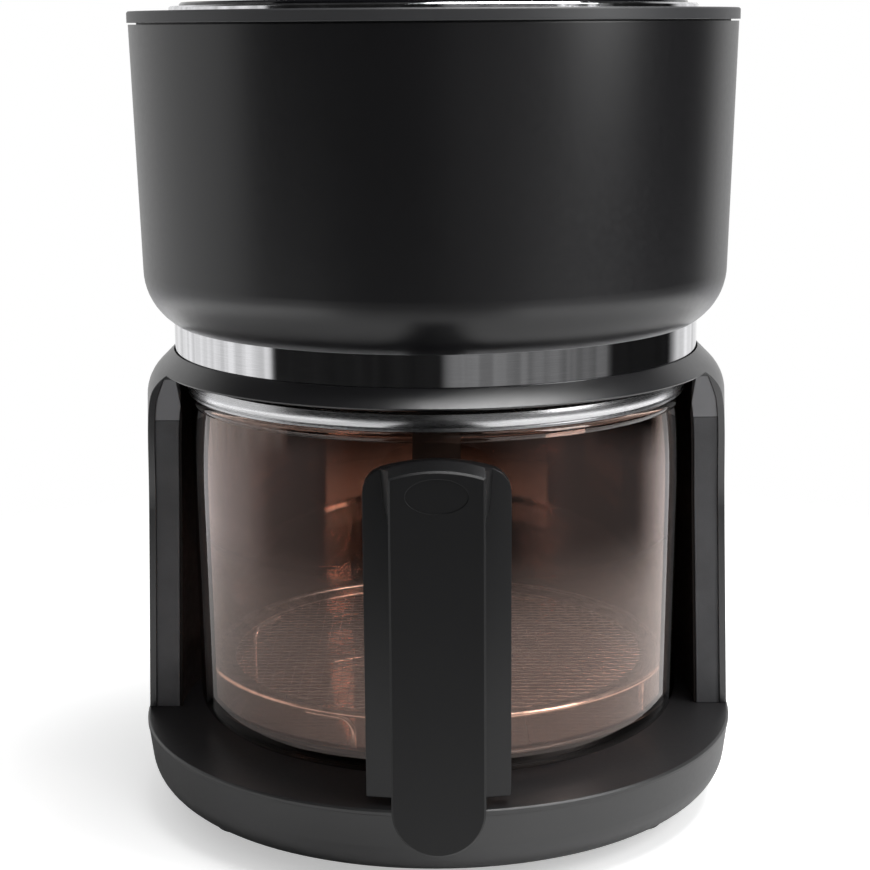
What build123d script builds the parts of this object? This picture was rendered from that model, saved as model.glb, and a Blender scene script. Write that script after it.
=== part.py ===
from build123d import *
from math import acos, cos, degrees, hypot, radians, sin
import os

# Glass air fryer. A heater head stands on a steel neck and a windowed frame over a round base.
# The glass pot slides out of the window to the front.
# Millimetres. The origin is on the table, on the axis of the round body. +Z is up and -Y is the front.
# Azimuths are in degrees from the front, positive towards +X.

WALL = 2.8
GAP = 0.1

# Base
FOOT_HEIGHT = 7.3
FOOT_RADIUS = 11.0
FOOT_CIRCLE = 101.5
FOOT_AZIMUTHS = (-122, -58, 58, 122)
BASE_ROUND = 16.7
BASE_ROUND_X = 113.7
BASE_LEAN = 7.5
BASE_RIM = 132.0
FLANGE_INNER = 86.0
BASE_SCREW_CIRCLE = 94.0
BASE_SCREW_AZIMUTHS = (0, 90, 180, 270)
BASE_SCREW_HOLE = 2.0
BASE_SCREW_SHANK = 1.65
BASE_SCREW_TIP = 26.0
BOTTOM_PLATE = 2.0
INTAKE_CIRCLE = 52.0
INTAKE_COUNT = 12
INTAKE_SLOT = (30.0, 4.0)

# Deck, where the pot slides
DECK_RADIUS = 132.2
DECK_TOP = 38.0
DECK_PLATE = 2.3
DECK_LOW = DECK_TOP - DECK_PLATE
GLIDE_RIB = (8.0, 150.0, 2.9)
GLIDE_RIB_X = 42.0

# Frame round the pot, a turned shell with a window in the front
FRAME_FOOT = 131.6
FRAME_SHOULDER = 127.0
SHOULDER_Z = 184.6
SHOULDER_ROUND = 19.2
FRAME_WALL = 3.0
COLLAR_MOUTH = 114.9
COLLAR_EDGE = (122.4, 195.9)
COLLAR_EDGE_CHAMFER = 0.9
WINDOW_TOP = 197.0
WINDOW_SIDE_Y = -8.4
WINDOW_BEND_Z = 131.0
WINDOW_BEND_END = (-28.0, 180.5)
WINDOW_CORNER_Y = -43.5
LINER_WALL = 1.2
LINER_TOP = 196.0
JAMB_WIDTH = 13.4
JAMB_SET_IN = 0.8
JAMB_DEPTH = 3.6
JAMB_TOP = 173.8
PASSAGE_HALF = 110.2
COLLAR_LINER_OUTER = 118.0
COLLAR_LINER_LOW = 196.5
COLLAR_LINER_TOP = 199.7
COLLAR_LINER_INNER = 104.0
GUIDE_PAD_AZIMUTH = 105.0
GUIDE_PAD_Z = (149.0, 162.0)
GUIDE_PAD_PROUD = 2.4

# Interlock at the back of the cavity
SWITCH_Z = 180.0
SWITCH_FRONT = 118.4
SWITCH_BODY = (18.0, 5.0, 10.0)
PLUNGER_RADIUS = 2.0
PLUNGER_TIP = 108.85
PLUNGER_END = 121.5

# Neck
BAND_OUTER = 114.3
BAND_WALL = 0.8
BAND_TOP = 219.0
CORE_INNER = 108.0
CORE_OUTER = 113.4
GRILLE_LOW = 199.8
GRILLE_THICK = 1.2
CORE_LOW = GRILLE_LOW + GRILLE_THICK + GAP
CORE_FLANGE_LOW = 221.2
CORE_FLANGE_TOP = 224.2
NECK_SCREW_CIRCLE = 110.7

# Head
HEAD_TOP_RADIUS = 129.5
HEAD_TOP = 342.6
HEAD_LOW_RADIUS = 126.8
HEAD_ROUND_Z = 239.6
HEAD_ROUND = 26.0
HEAD_MOUTH = 114.6
LID_RADIUS = 130.0
LID_LOW = 343.3
LID_TOP = 348.0
LID_PLATE = 2.6
PANEL_RADIUS = 108.0
PANEL_TOP = 351.6
TRIM_OUTER = 112.4
TRIM_TOP = 350.0
VENT_Z = (268.0, 302.0)
VENT_HALF_WIDTH = 42.3
VENT_HALF_ANGLE = 18.8
VENT_FACE = (128.0, 128.8)
VENT_BACK = 124.9
VENT_SLOT = (72.0, 2.6)
VENT_SLOT_PITCH = 5.2
VENT_SLOTS = 6
GLAND_Z = 252.0
GLAND_BARREL = 6.0
GLAND_REACH = (113.0, 130.2)
GLAND_GRIP = (120.6, 123.6, 127.5, 129.2)
CORD_BORE = 3.6

# Air system in the head
SHEET = 1.2
DOME_RADIUS = 100.0
DOME_LOW = 224.3
DOME_TOP = 250.0
COIL_Z = 216.0
COIL_ROD = 3.25
COIL_HALF_TURNS = (88.0, 82.0, 76.0, 70.0, 64.0)
TERMINAL_X = 104.0
TERMINAL_TOP = 240.0
CROSSING_Z = 208.6
INSULATION_THICK = 2.0
INSULATION_TOP = DOME_TOP + GAP + INSULATION_THICK
SHAFT_RADIUS = 4.0
SHAFT_Z = (227.0, 309.0)
SHAFT_FIT = 0.05
FAN_SHEET = 1.4
HOT_FAN = (13.0, 72.0, 229.0, 243.0)
HOT_FAN_BLADES = 10
COOL_FAN = (12.0, 58.0, 255.0, 266.0)
COOL_FAN_BLADES = 9
BRACKET_Z = (270.0, 271.6)
BRACKET_RADIUS = 86.0
BRACKET_LEG_CIRCLE = 80.0
BRACKET_LEG_AZIMUTHS = (30, 150, 270)
MOTOR_RADIUS = 31.0
MOTOR_Z = (271.6, 306.0)
MOTOR_END = 4.5
MOTOR_SCREW_CIRCLE = 25.0
ROTOR_RADIUS = 18.5
BEARING_RADIUS = 8.0
PROBE_CIRCLE = 94.8
PROBE_AZIMUTH = 135.0
PROBE_RADIUS = 2.0
PROBE_LOW = 206.0
FUSE_RADIUS = 3.5
FUSE_LEAD = 0.8
FUSE_Y = -86.0

# Control parts
BOARD = (116.0, 74.0, 1.6)
BOARD_TOP = 331.8
BOARD_SCREW_SPOTS = ((-50, -30), (50, -30), (-50, 30), (50, 30))
POWER_BOARD = (40.0, 56.0, 1.6)
POWER_BOARD_X = 58.0
POWER_BOARD_Z = 279.6
POWER_PARTS_TALL = 14.0
BOARD_PARTS_TALL = 7.0
DISPLAY = (58.0, 24.0)

# Pot
POT_TOP_RADIUS = 108.5
POT_LOW_RADIUS = 107.7
POT_WALL = 5.0
POT_BOTTOM = 41.2
POT_FLOOR = 48.0
POT_ROUND = 8.0
POT_INNER_ROUND = 5.0
POT_RIM = 190.0
BEAD_Z = 183.6
BEAD_PROUD = 0.8
BEAD_HALF = 2.0
RING_LOW = 186.2
RING_TOP = 193.0
RING_OUTER = 109.6
RING_WAIST = 109.0
RING_BULGE_Z = 190.6
RING_WALL = 0.6
RING_LIP = 0.9

# Handle
PLATE_INNER = 122.5
PLATE_OUTER = 128.0
PLATE_HALF = 28.8
PLATE_LOW = 41.8
PLATE_TOP = 178.8
PLATE_ARCH = 6.2
PLATE_CORNER = 11.0
GRIP_FRONT = 176.0
GRIP_DEPTH = 18.0
GRIP_HALF = 17.6
GRIP_TOP = 185.8
GRIP_LOW = 38.2
DIMPLE = (11.5, 6.5)
DIMPLE_Z = 176.4
DIMPLE_DEPTH = 0.3
BRIDGE_LOW = 146.0
BRIDGE_MIDDLE = 164.0
SADDLE = (109.6, 111.1)
SADDLE_HALF_ANGLE = 6.2
SADDLE_Z = (66.0, 174.0)
STRAP = (102.45, 103.0)
STRAP_HALF_ANGLE = 5.2
STRAP_LOW = 126.0
SLEEVE_RADIUS = 3.0
SLEEVE_BORE = 1.75
SCREW_SHANK = 1.7
SCREW_HEAD = 3.3
HANDLE_BLOCK = (20.0, 14.0)
BUFFER_Z = (46.0, 58.0)
BUFFER_HALF_ANGLE = 9.0
SLEEVE_END = 111.5
GLASS_HOLE = 4.1
HANDLE_SCREW_ZS = (136.0, 164.0)

# Rack
RACK_WIRE = 1.3
RACK_RIM_CENTRE = 100.8
RACK_RIM_Z = 65.7
RACK_MESH_RADIUS = 95.0
RACK_MESH_LOW = 62.6
RACK_MESH_THICK = 1.4
MESH_PITCH = 10.0
MESH_GAP = 8.4
LEG_WIRE = 1.2
LEG_CIRCLE = 98.2
LEG_AZIMUTHS = (-28, 62, 152, 242)
LEG_BEND = 6.0


def spot(radius, azimuth, z=0.0):
    """A point at this radius and azimuth."""
    turn = radians(azimuth)
    return (radius * sin(turn), -radius * cos(turn), z)


def upright_plane(azimuth):
    """The plane through the axis whose x runs out at this azimuth and whose y is up."""
    out = Vector(*spot(1, azimuth))
    return Plane(origin=(0, 0, 0), x_dir=out, z_dir=out.cross(Vector(0, 0, 1)))


def tangent_plane(azimuth, radius):
    """The upright plane that faces out at this radius, with x along the rim and y up."""
    out = Vector(*spot(1, azimuth))
    return Plane(origin=spot(radius, azimuth), x_dir=Vector(0, 0, 1).cross(out), z_dir=out)


def save(piece, name):
    piece.part.label = name
    export_step(piece.part, f"parts/{name}.step")


def tube(inner, outer, low, high):
    """A plain upright ring."""
    with BuildPart() as ring:
        with BuildSketch(Plane.XY.offset(low)):
            Circle(outer)
            Circle(inner, mode=Mode.SUBTRACT)
        extrude(amount=high - low)
    return ring


def sector(inner, outer, low, high, start, span):
    """A piece of an upright ring, from azimuth start over span degrees."""
    with BuildPart() as piece:
        with BuildSketch(upright_plane(start)):
            with BuildLine():
                Polyline((inner, low), (outer, low), (outer, high), (inner, high), close=True)
            make_face()
        revolve(axis=Axis.Z, revolution_arc=span)
    return piece


def screws(spots, head_radius, head_z, shank_radius, shank_z):
    """Upright screws as separate solids, each a head and a shank."""
    with BuildPart() as group:
        with BuildSketch(Plane.XY.offset(min(head_z))):
            with Locations(*spots):
                Circle(head_radius)
        extrude(amount=abs(head_z[1] - head_z[0]))
        with BuildSketch(Plane.XY.offset(min(shank_z))):
            with Locations(*spots):
                Circle(shank_radius)
        extrude(amount=abs(shank_z[1] - shank_z[0]))
    return group


def fan(hub_radius, tip_radius, low, high, disc, blades, blade_thick):
    """A radial fan: hub, disc on top and straight blades under it."""
    root = hub_radius - 1
    with BuildPart() as wheel:
        with BuildSketch(Plane.XY.offset(low)):
            Circle(hub_radius)
            with PolarLocations((root + tip_radius) / 2, blades):
                Rectangle(tip_radius - root, blade_thick)
        extrude(amount=high - low)
        with BuildSketch(Plane.XY.offset(high - disc)):
            Circle(tip_radius)
        extrude(amount=disc)
        with BuildSketch(Plane.XY.offset(low)):
            Circle(SHAFT_RADIUS + 0.02)
        extrude(amount=high - low, mode=Mode.SUBTRACT)
    return wheel


def frame_radius(z):
    """Outer radius of the frame's leaning wall."""
    return FRAME_FOOT - (FRAME_FOOT - FRAME_SHOULDER) * (z - DECK_TOP) / (SHOULDER_Z - DECK_TOP)


def window_edge(back):
    """The window's side edge seen from the side, moved back. Gives its lowest and highest points."""
    low, bend = (WINDOW_SIDE_Y + back, DECK_TOP), (WINDOW_SIDE_Y + back, WINDOW_BEND_Z)
    rise, corner = (WINDOW_BEND_END[0] + back, WINDOW_BEND_END[1]), (WINDOW_CORNER_Y + back, WINDOW_TOP)
    Line(low, bend)
    TangentArc(bend, rise, tangent=(0, 1))
    Line(rise, corner)
    return low, corner


def window_outline(back):
    """The outline of all that lies in front of the window's side edge, up to the window's top."""
    low, corner = window_edge(back)
    front = -2 * DECK_RADIUS
    Polyline(corner, (front, WINDOW_TOP), (front, DECK_TOP), low)


def jamb_outline(front, back):
    """The outline of the strip between two window edges."""
    low_front, high_front = window_edge(front)
    low_back, high_back = window_edge(back)
    Line(low_front, low_back)
    Line(high_front, high_back)


os.makedirs("parts", exist_ok=True)

# Base shell: a bowl with a flat flange inside, where the feet and the bottom plate sit
base_screw_spots = [spot(BASE_SCREW_CIRCLE, a) for a in BASE_SCREW_AZIMUTHS]
with BuildPart() as base_shell:
    with BuildSketch(Plane.XZ):
        with BuildLine():
            centre = (BASE_ROUND_X, FOOT_HEIGHT + BASE_ROUND)
            outer = CenterArc(centre, BASE_ROUND, -90, 90 - BASE_LEAN)
            inner = CenterArc(centre, BASE_ROUND - WALL, -90, 90 - BASE_LEAN)
            rim_low, rim_in = (BASE_RIM, DECK_LOW), (BASE_RIM - WALL, DECK_LOW)
            Polyline(outer @ 1, rim_low, rim_in, inner @ 1)
            flange = FOOT_HEIGHT + WALL
            Polyline(inner @ 0, (FLANGE_INNER, flange), (FLANGE_INNER, FOOT_HEIGHT), outer @ 0)
        make_face()
    revolve(axis=Axis.Z)
    with BuildSketch(Plane.XY.offset(FOOT_HEIGHT)):
        with Locations(*base_screw_spots):
            Circle(BASE_SCREW_HOLE)
    extrude(amount=WALL, mode=Mode.SUBTRACT)
save(base_shell, "base_shell")

# Four rubber feet with rounded lower edges
with BuildPart() as feet:
    with BuildSketch():
        with Locations(*[spot(FOOT_CIRCLE, a) for a in FOOT_AZIMUTHS]):
            Circle(FOOT_RADIUS)
    extrude(amount=FOOT_HEIGHT)
    fillet(feet.edges().group_by(Axis.Z)[0], 1.6)
save(feet, "feet")

# Bottom plate: closes the base on the flange
with BuildPart() as bottom_plate:
    with BuildSketch(Plane.XY.offset(FOOT_HEIGHT + WALL)):
        Circle(BASE_SCREW_CIRCLE + 6)
        with Locations(*base_screw_spots):
            Circle(BASE_SCREW_HOLE, mode=Mode.SUBTRACT)
        with PolarLocations(INTAKE_CIRCLE, INTAKE_COUNT):
            SlotOverall(*INTAKE_SLOT, mode=Mode.SUBTRACT)
    extrude(amount=BOTTOM_PLATE)
save(bottom_plate, "bottom_plate")

# Deck: the round shelf, its locating skirt, screw bosses and the two glide ribs
boss_low = FOOT_HEIGHT + WALL + BOTTOM_PLATE + GAP
with BuildPart() as deck_plate:
    with BuildSketch(Plane.XY.offset(DECK_LOW)):
        Circle(DECK_RADIUS)
    extrude(amount=DECK_PLATE)
    chamfer(deck_plate.edges().group_by(Axis.Z)[-1], 0.7)
    with BuildSketch(Plane.XY.offset(DECK_LOW - 6)):
        Circle(BASE_RIM - WALL - 1)
        Circle(BASE_RIM - WALL - 3.4, mode=Mode.SUBTRACT)
    extrude(amount=6)
    with BuildSketch(Plane.XY.offset(boss_low)):
        with Locations(*base_screw_spots):
            Circle(4.6)
    extrude(until=Until.NEXT)
    with BuildSketch(Plane.XY.offset(boss_low)):
        with Locations(*base_screw_spots):
            Circle(BASE_SCREW_SHANK + 0.05)
    extrude(amount=18, mode=Mode.SUBTRACT)
    with BuildSketch(Plane.XY.offset(DECK_TOP)):
        with Locations((-GLIDE_RIB_X, 0), (GLIDE_RIB_X, 0)):
            SlotOverall(GLIDE_RIB[1], GLIDE_RIB[0], rotation=90)
    extrude(amount=GLIDE_RIB[2])
save(deck_plate, "deck_plate")

screw_head_z, screw_shank_z = (FOOT_HEIGHT - 2, FOOT_HEIGHT), (FOOT_HEIGHT, BASE_SCREW_TIP)
base_screws = screws(base_screw_spots, 3.5, screw_head_z, BASE_SCREW_SHANK, screw_shank_z)
save(base_screws, "base_screws")

# Frame shell: collar, posts and back in one turned wall, with the window cut through the front
with BuildPart() as frame_shell:
    with BuildSketch(Plane.XZ):
        with BuildLine():
            shoulder = CenterArc((FRAME_SHOULDER - SHOULDER_ROUND, SHOULDER_Z), SHOULDER_ROUND, 0, 45)
            crest = shoulder @ 1
            mouth_top = crest.Y + crest.X - COLLAR_MOUTH
            mouth_low = mouth_top - FRAME_WALL * 2**0.5
            Line((FRAME_FOOT, DECK_TOP), shoulder @ 0)
            Polyline(
                crest,
                (COLLAR_MOUTH, mouth_top),
                (COLLAR_MOUTH, mouth_low),
                (COLLAR_MOUTH + mouth_low - COLLAR_EDGE[1], COLLAR_EDGE[1]),
                COLLAR_EDGE,
                (FRAME_SHOULDER - FRAME_WALL, SHOULDER_Z),
                (FRAME_FOOT - FRAME_WALL, DECK_TOP),
                (FRAME_FOOT, DECK_TOP),
            )
        make_face()
    revolve(axis=Axis.Z)
    with BuildSketch(Plane.YZ):
        with BuildLine():
            window_outline(0)
        make_face()
    extrude(amount=DECK_RADIUS, both=True, mode=Mode.SUBTRACT)
    collar_edges = frame_shell.edges().filter_by(lambda e: abs(e.center().Z - WINDOW_TOP) < 0.01)
    chamfer(collar_edges.sort_by(SortBy.LENGTH)[-1], COLLAR_EDGE_CHAMFER)
save(frame_shell, "frame_shell")

# Cavity liner: the curved wall behind the pot, open to the front and clear of the pot's way out
liner_low = DECK_TOP + GAP
liner_foot = frame_radius(liner_low) - JAMB_WIDTH - GAP
liner_head = frame_radius(LINER_TOP) - JAMB_WIDTH - GAP
with BuildPart() as cavity_liner:
    with BuildSketch(Plane.XZ):
        with BuildLine():
            Polyline(
                (liner_foot - LINER_WALL, liner_low),
                (liner_foot, liner_low),
                (liner_head, LINER_TOP),
                (liner_head - LINER_WALL, LINER_TOP),
                close=True,
            )
        make_face()
    revolve(axis=Axis.Z)
    with BuildSketch(Plane.YZ):
        with BuildLine():
            window_outline(JAMB_SET_IN + 0.3)
        make_face()
    extrude(amount=DECK_RADIUS, both=True, mode=Mode.SUBTRACT)
    with BuildSketch(Plane.XZ):
        with Locations((0, (DECK_TOP + LINER_TOP) / 2)):
            Rectangle(2 * PASSAGE_HALF, LINER_TOP)
    extrude(amount=DECK_RADIUS, mode=Mode.SUBTRACT)
    with BuildSketch(Plane.XZ.offset(PLUNGER_TIP - 2 * SWITCH_FRONT)):
        with Locations((0, SWITCH_Z)):
            Circle(PLUNGER_RADIUS + 0.6)
    extrude(amount=2 * SWITCH_BODY[0], mode=Mode.SUBTRACT)
save(cavity_liner, "cavity_liner")

# Jamb trims: the faces at the two sides of the window
for side, way in (("left", -1), ("right", 1)):
    with BuildPart() as jamb_trim:
        with BuildSketch(Plane.XZ):
            with BuildLine():
                skin = FRAME_WALL + GAP
                foot, head = frame_radius(liner_low), frame_radius(JAMB_TOP)
                Polyline(
                    (foot - JAMB_WIDTH, liner_low),
                    (foot - skin, liner_low),
                    (head - skin, JAMB_TOP),
                    (head - JAMB_WIDTH, JAMB_TOP),
                    close=True,
                )
            make_face()
        revolve(axis=Axis.Z)
        with BuildSketch(Plane.YZ):
            with BuildLine():
                jamb_outline(JAMB_SET_IN, JAMB_SET_IN + JAMB_DEPTH)
            make_face()
        extrude(amount=way * DECK_RADIUS, mode=Mode.INTERSECT)
    save(jamb_trim, f"jamb_trim_{side}")

# Collar liner: the dark ring over the pot's mouth, with a swept cap down to each jamb trim
with BuildPart() as jamb_caps:
    with BuildSketch(Plane.XZ):
        with BuildLine():
            cap_low = JAMB_TOP + 2 * GAP
            cap_top = COLLAR_LINER_LOW + GAP
            edge_radius, edge_z = COLLAR_EDGE[0] - 2 * GAP, COLLAR_EDGE[1] - 2 * GAP
            Polyline(
                (frame_radius(cap_low) - JAMB_WIDTH, cap_low),
                (frame_radius(cap_low) - skin, cap_low),
                (FRAME_SHOULDER - skin, SHOULDER_Z),
                (edge_radius, edge_z),
                (COLLAR_LINER_OUTER + 1, edge_z),
                (COLLAR_LINER_OUTER, cap_top),
                (frame_radius(cap_top) - JAMB_WIDTH, cap_top),
                close=True,
            )
        make_face()
    revolve(axis=Axis.Z)
    with BuildSketch(Plane.YZ):
        with BuildLine():
            jamb_outline(JAMB_SET_IN, JAMB_SET_IN + 2 * JAMB_DEPTH)
        make_face()
    extrude(amount=DECK_RADIUS, both=True, mode=Mode.INTERSECT)
    with BuildSketch(Plane.XZ.offset(-DECK_RADIUS)):
        with Locations((0, WINDOW_TOP)):
            Rectangle(2 * PASSAGE_HALF, WINDOW_TOP)
    extrude(amount=2 * DECK_RADIUS, mode=Mode.SUBTRACT)

with BuildPart() as collar_liner:
    with BuildSketch(Plane.XZ):
        with BuildLine():
            slope = COLLAR_LINER_TOP - COLLAR_LINER_LOW
            Polyline(
                (COLLAR_LINER_INNER, COLLAR_LINER_LOW),
                (COLLAR_LINER_OUTER, COLLAR_LINER_LOW),
                (COLLAR_LINER_OUTER - slope, COLLAR_LINER_TOP),
                (COLLAR_LINER_INNER, COLLAR_LINER_TOP),
                close=True,
            )
        make_face()
    revolve(axis=Axis.Z)
    add(jamb_caps.part)
save(collar_liner, "collar_liner")

# Guide pads on the liner, which keep the pot in the middle
with BuildPart() as guide_pads:
    for azimuth in (-GUIDE_PAD_AZIMUTH, GUIDE_PAD_AZIMUTH):
        with BuildSketch(upright_plane(azimuth - 1.3)):
            with BuildLine():
                low, high = GUIDE_PAD_Z
                pad_out = frame_radius(high) - JAMB_WIDTH - LINER_WALL - 2 * GAP
                pad_in = pad_out - GUIDE_PAD_PROUD
                Polyline((pad_out, low), (pad_in, low + 2), (pad_in, high - 2), (pad_out, high), close=True)
            make_face()
        revolve(axis=Axis.Z, revolution_arc=2.6)
save(guide_pads, "guide_pads")

# Interlock switch and the plunger that the pot presses
with BuildPart() as interlock_switch:
    with BuildSketch(Plane.XZ.offset(-SWITCH_FRONT)):
        with Locations((0, SWITCH_Z)):
            Rectangle(SWITCH_BODY[0], SWITCH_BODY[2])
    extrude(amount=-SWITCH_BODY[1])
    with BuildSketch(Plane.XZ.offset(-SWITCH_FRONT)):
        with Locations((0, SWITCH_Z)):
            Circle(PLUNGER_RADIUS + 0.06)
    extrude(amount=-4.2, mode=Mode.SUBTRACT)
save(interlock_switch, "interlock_switch")

with BuildPart() as switch_plunger:
    with BuildSketch(Plane.XZ.offset(-PLUNGER_TIP)):
        with Locations((0, SWITCH_Z)):
            Circle(PLUNGER_RADIUS)
    extrude(amount=-(PLUNGER_END - PLUNGER_TIP))
    fillet(switch_plunger.edges().group_by(Axis.Y)[0], 1.2)
save(switch_plunger, "switch_plunger")

# Neck: the polished band, the structural ring in it and the screws down into that ring
neck_band = tube(BAND_OUTER - BAND_WALL, BAND_OUTER, GRILLE_LOW, BAND_TOP)
save(neck_band, "neck_band")

neck_screw_spots = [spot(NECK_SCREW_CIRCLE, a) for a in range(30, 390, 60)]
with BuildPart() as neck_core:
    with BuildSketch(Plane.XZ):
        with BuildLine():
            Polyline(
                (CORE_INNER, CORE_LOW),
                (CORE_OUTER, CORE_LOW),
                (CORE_OUTER, CORE_FLANGE_LOW),
                (HEAD_MOUTH - GAP, CORE_FLANGE_LOW),
                (HEAD_MOUTH + 2.7, CORE_FLANGE_TOP),
                (CORE_INNER, CORE_FLANGE_TOP),
                close=True,
            )
        make_face()
    revolve(axis=Axis.Z)
    with BuildSketch(Plane.XY.offset(CORE_FLANGE_TOP)):
        with Locations(*neck_screw_spots):
            Circle(1.7)
    extrude(amount=-16, mode=Mode.SUBTRACT)
save(neck_core, "neck_core")

neck_screw_head = DOME_LOW + SHEET
neck_screws = screws(neck_screw_spots, 2.2, (neck_screw_head, neck_screw_head + 2), 1.65, (209, neck_screw_head))
save(neck_screws, "neck_screws")

# Guard grille under the heater: rings joined by spokes
with BuildPart() as guard_grille:
    with BuildSketch(Plane.XY.offset(GRILLE_LOW)):
        Circle(CORE_OUTER - 0.5)
        Circle(COLLAR_LINER_INNER - 2, mode=Mode.SUBTRACT)
        for radius in range(20, 100, 10):
            with BuildSketch(mode=Mode.PRIVATE) as ring:
                Circle(radius + 1.2)
                Circle(radius - 1.2, mode=Mode.SUBTRACT)
            add(ring.sketch)
        with PolarLocations((COLLAR_LINER_INNER + 18) / 2, 6):
            Rectangle(COLLAR_LINER_INNER - 18, 2.6)
    extrude(amount=GRILLE_THICK)
save(guard_grille, "guard_grille")

# Head shell: tapered drum with a rounded lower edge, open at the top, with vent and cord holes at the back
with BuildPart() as head_shell:
    with BuildSketch(Plane.XZ):
        with BuildLine():
            centre = (HEAD_LOW_RADIUS - HEAD_ROUND, HEAD_ROUND_Z)
            turn_out = degrees(acos((HEAD_MOUTH - centre[0]) / HEAD_ROUND))
            turn_in = degrees(acos((HEAD_MOUTH - centre[0]) / (HEAD_ROUND - WALL)))
            outer = CenterArc(centre, HEAD_ROUND, -turn_out, turn_out)
            inner = CenterArc(centre, HEAD_ROUND - WALL, -turn_in, turn_in)
            Line(outer @ 0, inner @ 0)
            Polyline(outer @ 1, (HEAD_TOP_RADIUS, HEAD_TOP), (HEAD_TOP_RADIUS - WALL, HEAD_TOP), inner @ 1)
        make_face()
    revolve(axis=Axis.Z)
    with BuildSketch(Plane.XZ.offset(-SWITCH_FRONT)):
        with Locations((0, sum(VENT_Z) / 2)):
            Rectangle(2 * VENT_HALF_WIDTH, VENT_Z[1] - VENT_Z[0])
        with Locations((0, GLAND_Z)):
            Circle(GLAND_BARREL + GAP)
    extrude(amount=-15, mode=Mode.SUBTRACT)
save(head_shell, "head_shell")

# Top cover: lid ring and plate in one, with a skirt inside the head and bosses for the board
with BuildPart() as top_cover:
    with BuildSketch(Plane.XZ):
        with BuildLine():
            plate_low = LID_TOP - LID_PLATE
            skirt_out, skirt_in = HEAD_TOP_RADIUS - WALL - 0.6, HEAD_TOP_RADIUS - WALL - 3
            Polyline(
                (0, plate_low),
                (skirt_in, plate_low),
                (skirt_in, HEAD_TOP - 6),
                (skirt_out, HEAD_TOP - 6),
                (skirt_out, LID_LOW),
                (LID_RADIUS, LID_LOW),
                (LID_RADIUS, LID_TOP - 0.6),
                (LID_RADIUS - 0.6, LID_TOP),
                (0, LID_TOP),
                close=True,
            )
        make_face()
    revolve(axis=Axis.Z)
    with BuildSketch(Plane.XY.offset(BOARD_TOP + GAP)):
        with Locations(*BOARD_SCREW_SPOTS):
            Circle(4)
    extrude(amount=plate_low - BOARD_TOP - GAP)
    with BuildSketch(Plane.XY.offset(BOARD_TOP + GAP)):
        with Locations(*BOARD_SCREW_SPOTS):
            Circle(1.3)
    extrude(amount=9, mode=Mode.SUBTRACT)
save(top_cover, "top_cover")

with BuildPart() as panel_trim_ring:
    with BuildSketch(Plane.XY.offset(LID_TOP)):
        Circle(TRIM_OUTER)
        Circle(PANEL_RADIUS + 0.2, mode=Mode.SUBTRACT)
    extrude(amount=TRIM_TOP - LID_TOP)
    chamfer(panel_trim_ring.edges().group_by(Axis.Z)[-1].sort_by(SortBy.LENGTH)[-1], 0.6)
save(panel_trim_ring, "panel_trim_ring")

with BuildPart() as touch_panel:
    with BuildSketch(Plane.XY.offset(LID_TOP)):
        Circle(PANEL_RADIUS)
    extrude(amount=PANEL_TOP - LID_TOP)
    chamfer(touch_panel.edges().group_by(Axis.Z)[-1], 0.7)
save(touch_panel, "touch_panel")

# Control board under the cover, with the display between them
with BuildPart() as control_board:
    with BuildSketch(Plane.XY.offset(BOARD_TOP - BOARD[2])):
        RectangleRounded(BOARD[0], BOARD[1], 4)
        with Locations(*BOARD_SCREW_SPOTS):
            Circle(1.6, mode=Mode.SUBTRACT)
    extrude(amount=BOARD[2])
    with BuildSketch(Plane.XY.offset(BOARD_TOP - BOARD[2])):
        with Locations((-30, 0), (0, 22)):
            Rectangle(14, 10)
        with Locations((24, -10), (34, 8)):
            Circle(5)
    extrude(amount=-BOARD_PARTS_TALL)
save(control_board, "control_board")

with BuildPart() as display_module:
    with BuildSketch(Plane.XY.offset(BOARD_TOP)):
        RectangleRounded(*DISPLAY, 1.5)
    extrude(amount=LID_TOP - LID_PLATE - BOARD_TOP - GAP)
save(display_module, "display_module")

board_low = BOARD_TOP - BOARD[2]
board_screws = screws(BOARD_SCREW_SPOTS, 2.6, (board_low - 1.8, board_low), 1.25, (board_low, BOARD_TOP + 7))
save(board_screws, "board_screws")

# Heat dome: the steel pan over the heater and the hot air fan
probe_spot = spot(PROBE_CIRCLE, PROBE_AZIMUTH)
with BuildPart() as heat_dome:
    with BuildSketch(Plane.XZ):
        with BuildLine():
            Polyline(
                (DOME_RADIUS - SHEET, DOME_LOW),
                (CORE_OUTER - 0.4, DOME_LOW),
                (CORE_OUTER - 0.4, DOME_LOW + SHEET),
                (DOME_RADIUS, DOME_LOW + SHEET),
                (DOME_RADIUS, DOME_TOP),
                (SHAFT_RADIUS + 2, DOME_TOP),
                (SHAFT_RADIUS + 2, DOME_TOP - SHEET),
                (DOME_RADIUS - SHEET, DOME_TOP - SHEET),
                close=True,
            )
        make_face()
    revolve(axis=Axis.Z)
    with BuildSketch(Plane.XY.offset(DOME_LOW)):
        with Locations(*neck_screw_spots):
            Circle(1.8)
        with Locations((-TERMINAL_X, 0), (TERMINAL_X, 0)):
            Circle(COIL_ROD + 0.5)
    extrude(amount=SHEET, mode=Mode.SUBTRACT)
    with BuildSketch(Plane.XY.offset(DOME_TOP - SHEET)):
        with Locations(probe_spot):
            Circle(PROBE_RADIUS + 0.3)
    extrude(amount=SHEET, mode=Mode.SUBTRACT)
save(heat_dome, "heat_dome")

with BuildPart() as insulation_disc:
    with BuildSketch(Plane.XY.offset(DOME_TOP + GAP)):
        Circle(DOME_RADIUS - 1)
        Circle(SHAFT_RADIUS + 5, mode=Mode.SUBTRACT)
        with Locations(probe_spot):
            Circle(PROBE_RADIUS + 0.3, mode=Mode.SUBTRACT)
    extrude(amount=INSULATION_THICK)
save(insulation_disc, "insulation_disc")

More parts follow.
